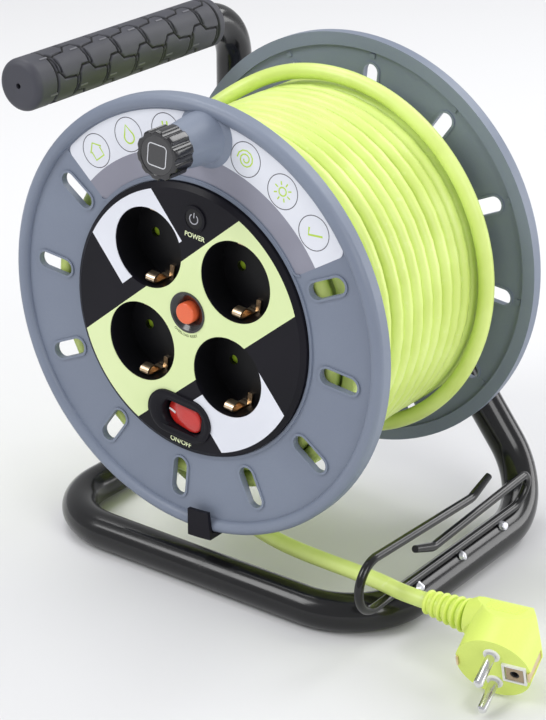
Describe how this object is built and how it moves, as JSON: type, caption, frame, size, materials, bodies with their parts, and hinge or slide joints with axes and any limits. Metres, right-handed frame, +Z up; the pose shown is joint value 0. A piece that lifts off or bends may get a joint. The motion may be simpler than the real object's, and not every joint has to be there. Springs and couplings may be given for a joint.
{
  "type": "extension cord reel",
  "caption": "Tube-framed extension cord reel: a crank-wound cable drum with earthed sockets, a switch and a thermal cut-out in its face, a cable hook and a mains plug.",
  "frame": {"origin": "middle of the footprint of the reel without its free cord, on the ground", "axes": "+Z up; -Y the socket face; +X to the right when facing the sockets, where the cord leaves"},
  "size_m": [0.3207, 0.2256, 0.2667],
  "materials": {
    "frame_paint": "gloss black paint",
    "grip_plastic": "soft matt black with a moulded tread",
    "steel": "zinc-plated",
    "weld": "bare weld beads",
    "brass": "plain contact brass",
    "cable": "satin lime rubber",
    "plug_plastic": "satin lime rubber-like plastic",
    "plug_insert": "plain white plastic",
    "drum_plastic": "satin slate grey plastic",
    "black_plastic": "satin black plastic",
    "inner_plastic": "plain dark plastic",
    "film_white": "printed white film",
    "film_grey": "printed dark grey film",
    "film_green": "printed pale green film",
    "reset_plastic": "orange-red plastic",
    "rocker_plastic": "red plastic",
    "lens": "dark lamp lens",
    "shutter_plastic": "lime plastic"
  },
  "bodies": {
    "frame": {"base_tube": "frame_paint", "handle_tube": "frame_paint", "riser_tube": "frame_paint", "handle_grip": "grip_plastic", "hub_sleeve": "frame_paint", "hub_screw": "steel", "axle": "steel", "hub_cap": "inner_plastic", "thrust_washer": "steel", "retaining_ring": "steel", "cable_hook": "frame_paint", "hook_welds": "weld", "free_cord": "cable", "plug_body": "plug_plastic", "plug_boot": "plug_plastic", "plug_pins": "steel", "plug_earth_contacts": "steel", "plug_earth_socket": "plug_insert"},
    "drum": {"front_flange": "drum_plastic", "rear_flange": "drum_plastic", "barrel": "drum_plastic", "front_bush": "inner_plastic", "rear_bush": "inner_plastic", "flange_screws": "steel", "rear_screws": "steel", "winding_core": "cable", "winding": "cable", "rim_clip": "black_plastic", "label_white": "film_white", "label_grey": "film_grey", "face_plate": "black_plastic", "green_band": "film_green", "white_panels": "film_white", "face_screws": "steel", "screw_plugs": "black_plastic", "socket_1": "black_plastic", "socket_2": "black_plastic", "socket_3": "black_plastic", "socket_4": "black_plastic", "earth_contacts": "brass", "earth_rail": "brass", "pole_rails": "brass", "contact_carrier": "inner_plastic", "contact_cover": "inner_plastic", "cord_clamp": "inner_plastic", "inner_cord": "cable", "cutout_body": "inner_plastic", "reset_bezel": "black_plastic", "switch_housing": "black_plastic", "lamp_ring": "black_plastic", "lamp_lens": "lens", "crank_pin": "steel"},
    "knob": {"crank_knob": "black_plastic", "knob_badge": "inner_plastic"},
    "rocker": {"rocker": "rocker_plastic"},
    "reset_button": {"reset_button": "reset_plastic"},
    "shutter_1": {"shutter_1": "shutter_plastic"},
    "shutter_2": {"shutter_2": "shutter_plastic"},
    "shutter_3": {"shutter_3": "shutter_plastic"},
    "shutter_4": {"shutter_4": "shutter_plastic"}
  },
  "joints": [
    {"name": "drum_spin", "type": "hinge", "parent": "frame", "child": "drum", "pos_m": [-0.00015, -0.0792, 0.15], "axis": [0, 1, 0], "continuous": true},
    {"name": "knob_spin", "type": "hinge", "parent": "drum", "child": "knob", "pos_m": [0.01009, -0.0792, 0.24746], "axis": [0, 1, 0], "continuous": true},
    {"name": "rocker_tip", "type": "hinge", "parent": "drum", "child": "rocker", "pos_m": [-0.00572, -0.0782, 0.09699], "axis": [0.1045, 0, 0.9945], "range_deg": [0, 24]},
    {"name": "reset_press", "type": "slide", "parent": "drum", "child": "reset_button", "axis": [0, 1, 0], "range_m": [0, 0.002], "stiffness_N_per_m": 400, "springref_m": -0.001},
    {"name": "shutter_1_slide", "type": "slide", "parent": "drum", "child": "shutter_1", "axis": [0.1045, 0, 0.9945], "range_m": [0, 0.0055], "stiffness_N_per_m": 100, "springref_m": -0.004},
    {"name": "shutter_2_slide", "type": "slide", "parent": "drum", "child": "shutter_2", "axis": [0.1045, 0, 0.9945], "range_m": [0, 0.0055], "stiffness_N_per_m": 100, "springref_m": -0.004},
    {"name": "shutter_3_slide", "type": "slide", "parent": "drum", "child": "shutter_3", "axis": [0.1045, 0, 0.9945], "range_m": [0, 0.0055], "stiffness_N_per_m": 100, "springref_m": -0.004},
    {"name": "shutter_4_slide", "type": "slide", "parent": "drum", "child": "shutter_4", "axis": [0.1045, 0, 0.9945], "range_m": [0, 0.0055], "stiffness_N_per_m": 100, "springref_m": -0.004}
  ]
}
